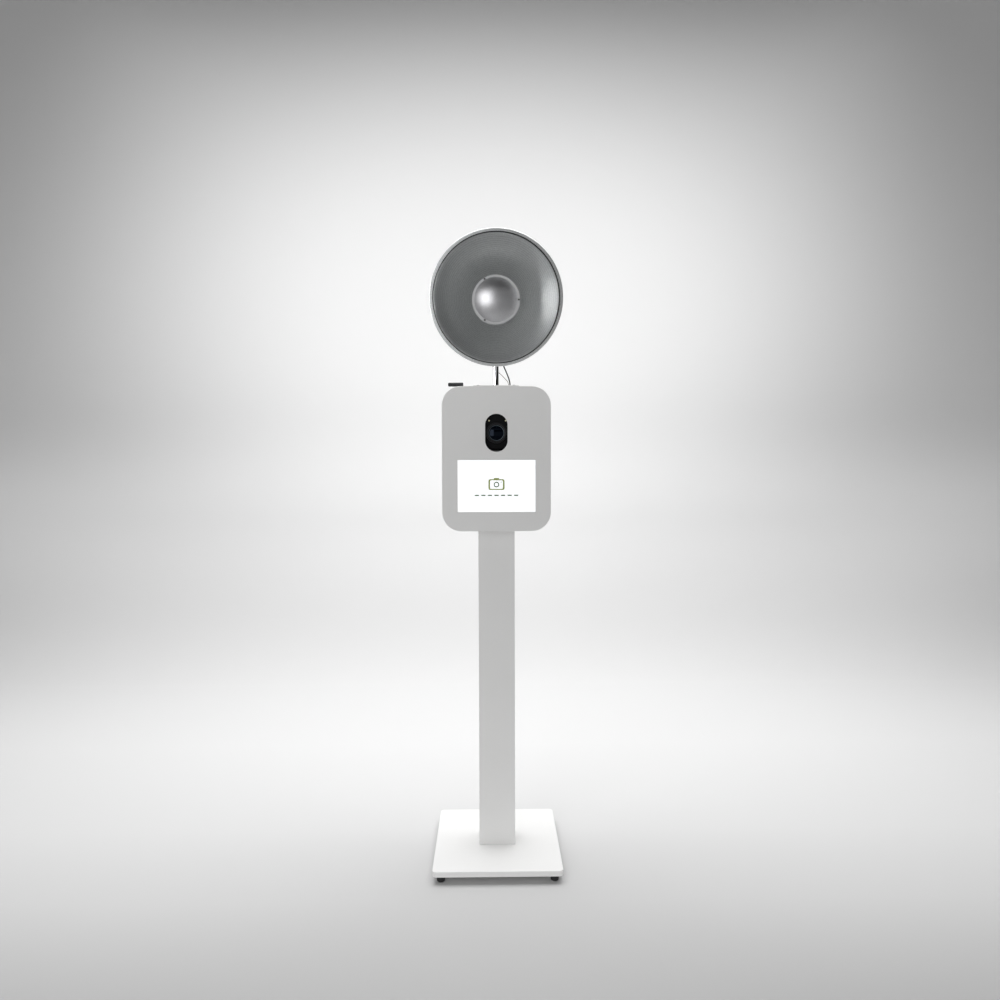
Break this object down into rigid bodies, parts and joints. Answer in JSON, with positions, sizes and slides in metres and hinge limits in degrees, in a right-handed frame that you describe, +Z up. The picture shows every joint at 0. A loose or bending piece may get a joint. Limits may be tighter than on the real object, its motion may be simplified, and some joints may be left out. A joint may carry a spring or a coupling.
{
  "type": "photo booth",
  "caption": "Free-standing photo kiosk: square base, box column, rounded housing with touch screen and camera window, and a flash head with a silver beauty dish on a mast.",
  "frame": {"origin": "on the floor, under the middle of the whole object's bounding box, 18.9 mm in front of the column's axis", "axes": "+X to the right seen from the front, +Y to the back, +Z up; the screen and the dish face -Y"},
  "size_m": [0.43, 0.4677, 2.1056],
  "materials": {
    "white_powder_coat": "satin powder coat",
    "chrome": "polished",
    "dish_aluminium": "fine pebbled satin",
    "zinc_steel": "zinc plated",
    "pale_brass_screws": "satin",
    "black_rubber": "matte",
    "grey_sheath": "matte",
    "black_plastic": "fine texture",
    "grey_plastic": "smooth",
    "black_paint": "semi matt",
    "ring_aluminium": "anodised",
    "screen_glass": "lit white screen",
    "lens_coating_glass": "coated",
    "lamp_glass": "frosted"
  },
  "bodies": {
    "stand": {"rubber_feet": "black_rubber", "foot_screws": "zinc_steel", "base_ballast_plate": "white_powder_coat", "base_cover": "white_powder_coat", "column": "white_powder_coat", "column_bolts": "zinc_steel", "power_inlet": "black_plastic", "housing_shell": "white_powder_coat", "front_panel": "white_powder_coat", "tablet_frame": "zinc_steel", "tablet_display": "screen_glass", "tablet_body": "grey_plastic", "camera_bracket": "zinc_steel", "shell_hinge_leaf": "zinc_steel", "hinge_pin": "zinc_steel", "mast_plate": "white_powder_coat", "top_screws": "zinc_steel", "cord_grommet": "black_rubber", "mast": "chrome", "antenna_mount": "black_plastic", "power_cord_lower": "black_rubber", "sync_cord_lower": "grey_sheath"},
    "mains_rocker": {"power_switch": "black_plastic"},
    "camera_carriage": {"camera_shelf": "black_paint", "shelf_knobs": "black_plastic", "camera_body": "black_plastic", "lens_barrel": "black_plastic", "lens_glass": "lens_coating_glass", "lens_shroud": "black_plastic", "shroud_screws": "pale_brass_screws"},
    "zoom": {"zoom_ring": "black_plastic"},
    "door": {"rear_door": "white_powder_coat", "door_hinge_leaf": "zinc_steel", "door_lock_body": "zinc_steel", "fan_frame": "black_plastic"},
    "lock": {"door_lock_cam": "zinc_steel"},
    "fan": {"fan_rotor": "black_plastic"},
    "antenna": {"antenna_stub": "black_plastic"},
    "bracket": {"tilt_bracket": "black_paint", "tilt_shaft": "zinc_steel", "cord_clip": "black_plastic", "power_cord_upper": "black_rubber", "sync_cord_upper": "grey_sheath"},
    "clamp_knob": {"swivel_knob": "black_plastic"},
    "clamp_lever": {"tilt_lever": "black_plastic"},
    "head": {"head_foot": "black_paint", "head_body": "black_paint", "head_front_ring": "black_plastic", "head_rear_panel": "black_plastic", "flash_tube": "lamp_glass", "modelling_lamp": "lamp_glass", "dish_mount_ring": "ring_aluminium", "dish_bowl": "dish_aluminium", "deflector_posts": "zinc_steel", "deflector": "dish_aluminium", "deflector_screws": "zinc_steel", "cord_entries": "black_plastic"},
    "dial": {"power_dial": "black_plastic"},
    "button": {"test_button": "grey_plastic"},
    "head_rocker": {"head_switch": "black_plastic"}
  },
  "joints": [
    {"name": "head_swivel", "type": "hinge", "parent": "stand", "child": "bracket", "pos_m": [0, 0.0189, 1.752], "axis": [0, 0, 1], "range_deg": [-60, 60], "deforming": ["power_cord_lower", "sync_cord_lower"]},
    {"name": "head_tilt", "type": "hinge", "parent": "bracket", "child": "head", "pos_m": [0, 0.0189, 1.8463], "axis": [1, 0, 0], "range_deg": [-50, 15], "deforming": ["power_cord_upper", "sync_cord_upper"]},
    {"name": "clamp_knob_turn", "type": "hinge", "parent": "bracket", "child": "clamp_knob", "pos_m": [-0.03, 0.0189, 1.738], "axis": [1, 0, 0], "range_deg": [-180, 180]},
    {"name": "clamp_lever_turn", "type": "hinge", "parent": "bracket", "child": "clamp_lever", "pos_m": [0.03, 0.0189, 1.8463], "axis": [1, 0, 0], "range_deg": [-40, 15]},
    {"name": "door_hinge", "type": "hinge", "parent": "stand", "child": "door", "pos_m": [-0.1865, 0.1274, 1.391], "axis": [0, 0, 1], "range_deg": [0, 110]},
    {"name": "lock_turn", "type": "hinge", "parent": "door", "child": "lock", "pos_m": [0.14, 0.1189, 1.391], "axis": [0, 1, 0], "range_deg": [-90, 0]},
    {"name": "fan_spin", "type": "hinge", "parent": "door", "child": "fan", "pos_m": [0.086, 0.1189, 1.54], "axis": [0, 1, 0], "continuous": true},
    {"name": "camera_height", "type": "slide", "parent": "stand", "child": "camera_carriage", "axis": [0, 0, 1], "range_m": [-0.02, 0.02]},
    {"name": "zoom_turn", "type": "hinge", "parent": "camera_carriage", "child": "zoom", "pos_m": [0, -0.0291, 1.4785], "axis": [0, 1, 0], "range_deg": [-45, 45]},
    {"name": "antenna_turn", "type": "hinge", "parent": "stand", "child": "antenna", "pos_m": [-0.154, -0.0731, 1.64], "axis": [1, 0, 0], "range_deg": [-90, 90]},
    {"name": "mains_rocker_tip", "type": "hinge", "parent": "stand", "child": "mains_rocker", "pos_m": [0.022, 0.0649, 0.13], "axis": [1, 0, 0], "range_deg": [-7, 7]},
    {"name": "head_rocker_tip", "type": "hinge", "parent": "head", "child": "head_rocker", "pos_m": [-0.024, 0.1954, 1.94207], "axis": [1, 0, 0], "range_deg": [-7, 7]},
    {"name": "power_dial_turn", "type": "hinge", "parent": "head", "child": "dial", "pos_m": [0, 0.19496, 1.9664], "axis": [0, -0.9833, -0.1822], "range_deg": [-150, 150]},
    {"name": "test_button_press", "type": "slide", "parent": "head", "child": "button", "axis": [0, -0.9833, -0.1822], "range_m": [0, 0.002], "stiffness_N_per_m": 400, "springref_m": -0.001}
  ]
}
